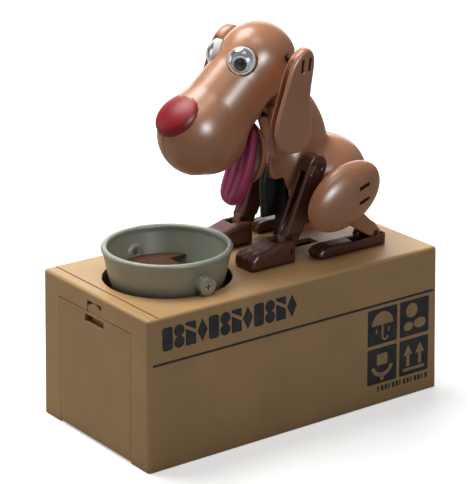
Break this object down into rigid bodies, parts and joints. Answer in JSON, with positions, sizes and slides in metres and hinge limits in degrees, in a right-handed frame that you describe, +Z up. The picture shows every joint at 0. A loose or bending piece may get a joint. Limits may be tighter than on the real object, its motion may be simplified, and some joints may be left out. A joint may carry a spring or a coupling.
{
  "type": "mechanical coin bank",
  "caption": "Battery-driven money box: a carton-shaped case with a tilting coin bowl, an end door and a jointed dog that bows over the bowl.",
  "frame": {"origin": "centre of the box's underside, on the plane it rests on", "axes": "+Z up, -X towards the end with the coin door and the bowl (the way the dog looks), -Y out of the printed side"},
  "size_m": [0.155, 0.08, 0.1689],
  "materials": {
    "tan_case": "satin",
    "tan_door": "satin",
    "bowl_grey": "satin",
    "tray_brown": "satin",
    "dog_tan": "satin",
    "dog_brown": "satin",
    "nose_red": "satin",
    "tongue_pink": "satin",
    "eye_white": "gloss",
    "eye_clear": "gloss",
    "pupil_black": "gloss",
    "screw_steel": "bright",
    "pin_steel": "bright",
    "inner_black": "matt",
    "gear_white": "satin",
    "motor_can": "satin",
    "board_green": "satin",
    "cell_wrap": "satin",
    "contact_nickel": "bright"
  },
  "bodies": {
    "box": {"case_shell": "tan_case", "base_plate": "tan_case", "case_screws": "screw_steel", "partition_wall": "tan_case", "lever_pin": "pin_steel", "bowl_brackets": "bowl_grey", "bowl_pivot_screws": "screw_steel", "gearbox_frame": "inner_black", "gearbox_cover": "inner_black", "gear_shafts": "pin_steel", "gearbox_screws": "screw_steel", "motor": "motor_can", "batteries": "cell_wrap", "battery_contacts": "contact_nickel", "battery_cover": "tan_case", "battery_cover_screw": "screw_steel", "circuit_board": "board_green", "switch_housing": "inner_black", "front_paw_near": "dog_brown", "front_paw_far": "dog_brown", "paw_pins": "pin_steel", "rear_foot_near": "dog_brown", "rear_foot_far": "dog_brown"},
    "coin_door": {"coin_door": "tan_door"},
    "door_latch": {"door_latch": "tan_door"},
    "bowl": {"bowl": "bowl_grey", "coin_tray": "tray_brown"},
    "bowl_lever": {"bowl_lever": "inner_black"},
    "power_switch": {"power_switch": "inner_black"},
    "drive_arm": {"drive_arm": "inner_black"},
    "second_gear": {"second_gear": "gear_white"},
    "first_gear": {"first_gear": "gear_white"},
    "motor_pinion": {"motor_pinion": "gear_white"},
    "forelegs": {"foreleg_near": "dog_brown", "foreleg_far": "dog_brown", "shoulder_pin": "pin_steel"},
    "dog_body": {"body_near": "dog_tan", "body_far": "dog_tan", "hip_pin": "pin_steel", "fork_pin": "pin_steel"},
    "thighs": {"thigh_near": "dog_tan", "thigh_far": "dog_tan", "heel_pins": "pin_steel"},
    "head": {"head_near": "dog_tan", "head_far": "dog_tan", "nose": "nose_red", "neck_pin": "pin_steel", "jaw_pin": "pin_steel", "eye_cups": "eye_white", "eye_domes": "eye_clear", "ear_pins": "pin_steel"},
    "jaw": {"jaw": "dog_brown", "tongue": "tongue_pink"},
    "ear_near": {"ear_near": "dog_tan"},
    "ear_far": {"ear_far": "dog_tan"},
    "pupil_near": {"pupil_near": "pupil_black"},
    "pupil_far": {"pupil_far": "pupil_black"}
  },
  "joints": [
    {"name": "foreleg_swing", "type": "hinge", "parent": "box", "child": "forelegs", "pos_m": [0.012, 0.0025, 0.0715], "axis": [0, 1, 0], "range_deg": [0, 15]},
    {"name": "body_bow", "type": "hinge", "parent": "forelegs", "child": "dog_body", "pos_m": [0.0283, 0.0025, 0.1054], "axis": [0, -1, 0], "range_deg": [0, 35.23]},
    {"name": "thigh_swing", "type": "hinge", "parent": "dog_body", "child": "thighs", "pos_m": [0.047, 0.0025, 0.0965], "axis": [0, 1, 0], "range_deg": [0, 43.89]},
    {"name": "head_nod", "type": "hinge", "parent": "dog_body", "child": "head", "pos_m": [0.0165, 0.0025, 0.1425], "axis": [0, -1, 0], "range_deg": [0, 6.02]},
    {"name": "jaw_flap", "type": "hinge", "parent": "head", "child": "jaw", "pos_m": [0.0058, 0.0025, 0.1302], "axis": [0, 1, 0], "range_deg": [0, 6]},
    {"name": "ear_near_flop", "type": "hinge", "parent": "head", "child": "ear_near", "pos_m": [0.014, -0.0232, 0.1545], "axis": [0, 1, 0], "range_deg": [-16, 20]},
    {"name": "ear_far_flop", "type": "hinge", "parent": "head", "child": "ear_far", "pos_m": [0.014, 0.0282, 0.1545], "axis": [0, 1, 0], "range_deg": [-16, 20]},
    {"name": "arm_swing", "type": "hinge", "parent": "box", "child": "drive_arm", "pos_m": [0.0198, 0, 0.037], "axis": [0, 1, 0], "range_deg": [0, 15.05]},
    {"name": "second_gear_turn", "type": "hinge", "parent": "box", "child": "second_gear", "pos_m": [0.04816, 0, 0.042], "axis": [0, -1, 0], "range_deg": [0, 75.37]},
    {"name": "first_gear_turn", "type": "hinge", "parent": "box", "child": "first_gear", "pos_m": [0.05919, 0, 0.03275], "axis": [0, 1, 0], "range_deg": [0, 226.02]},
    {"name": "motor_turn", "type": "hinge", "parent": "box", "child": "motor_pinion", "pos_m": [0.0537, 0, 0.04453], "axis": [0, -1, 0], "range_deg": [0, 753.72]},
    {"name": "bowl_tilt", "type": "hinge", "parent": "box", "child": "bowl", "pos_m": [-0.0398, 0, 0.0699], "axis": [0, 1, 0], "range_deg": [0, 15.02]},
    {"name": "lever_rock", "type": "hinge", "parent": "box", "child": "bowl_lever", "pos_m": [0.002, 0, 0.05], "axis": [0, -1, 0], "range_deg": [0, 18.02]},
    {"name": "coin_door_swing", "type": "hinge", "parent": "box", "child": "coin_door", "pos_m": [-0.0746, 0, 0.004], "axis": [0, -1, 0], "range_deg": [0, 90]},
    {"name": "door_latch_press", "type": "slide", "parent": "coin_door", "child": "door_latch", "axis": [1, 0, 0], "range_m": [0, 0.0012]},
    {"name": "power_switch_slide", "type": "slide", "parent": "box", "child": "power_switch", "axis": [1, 0, 0], "range_m": [0, 0.004]},
    {"name": "pupil_near_roll", "type": "hinge", "parent": "head", "child": "pupil_near", "pos_m": [-0.0062, -0.0069, 0.1552], "axis": [-0.7241, -0.652, 0.225], "continuous": true},
    {"name": "pupil_far_roll", "type": "hinge", "parent": "head", "child": "pupil_far", "pos_m": [-0.0062, 0.0119, 0.1552], "axis": [-0.7241, 0.652, 0.225], "continuous": true}
  ],
  "couplings": [
    {"joint": "body_bow", "follows": "foreleg_swing", "ratio": 2.3472},
    {"joint": "thigh_swing", "follows": "foreleg_swing", "ratio": 2.9243},
    {"joint": "head_nod", "follows": "foreleg_swing", "ratio": 0.4},
    {"joint": "arm_swing", "follows": "foreleg_swing", "ratio": 1.0023},
    {"joint": "second_gear_turn", "follows": "foreleg_swing", "ratio": 5.0115},
    {"joint": "first_gear_turn", "follows": "foreleg_swing", "ratio": 15.034},
    {"joint": "motor_turn", "follows": "foreleg_swing", "ratio": 50.115},
    {"joint": "bowl_tilt", "follows": "foreleg_swing", "ratio": 1},
    {"joint": "lever_rock", "follows": "foreleg_swing", "ratio": 1.2}
  ]
}
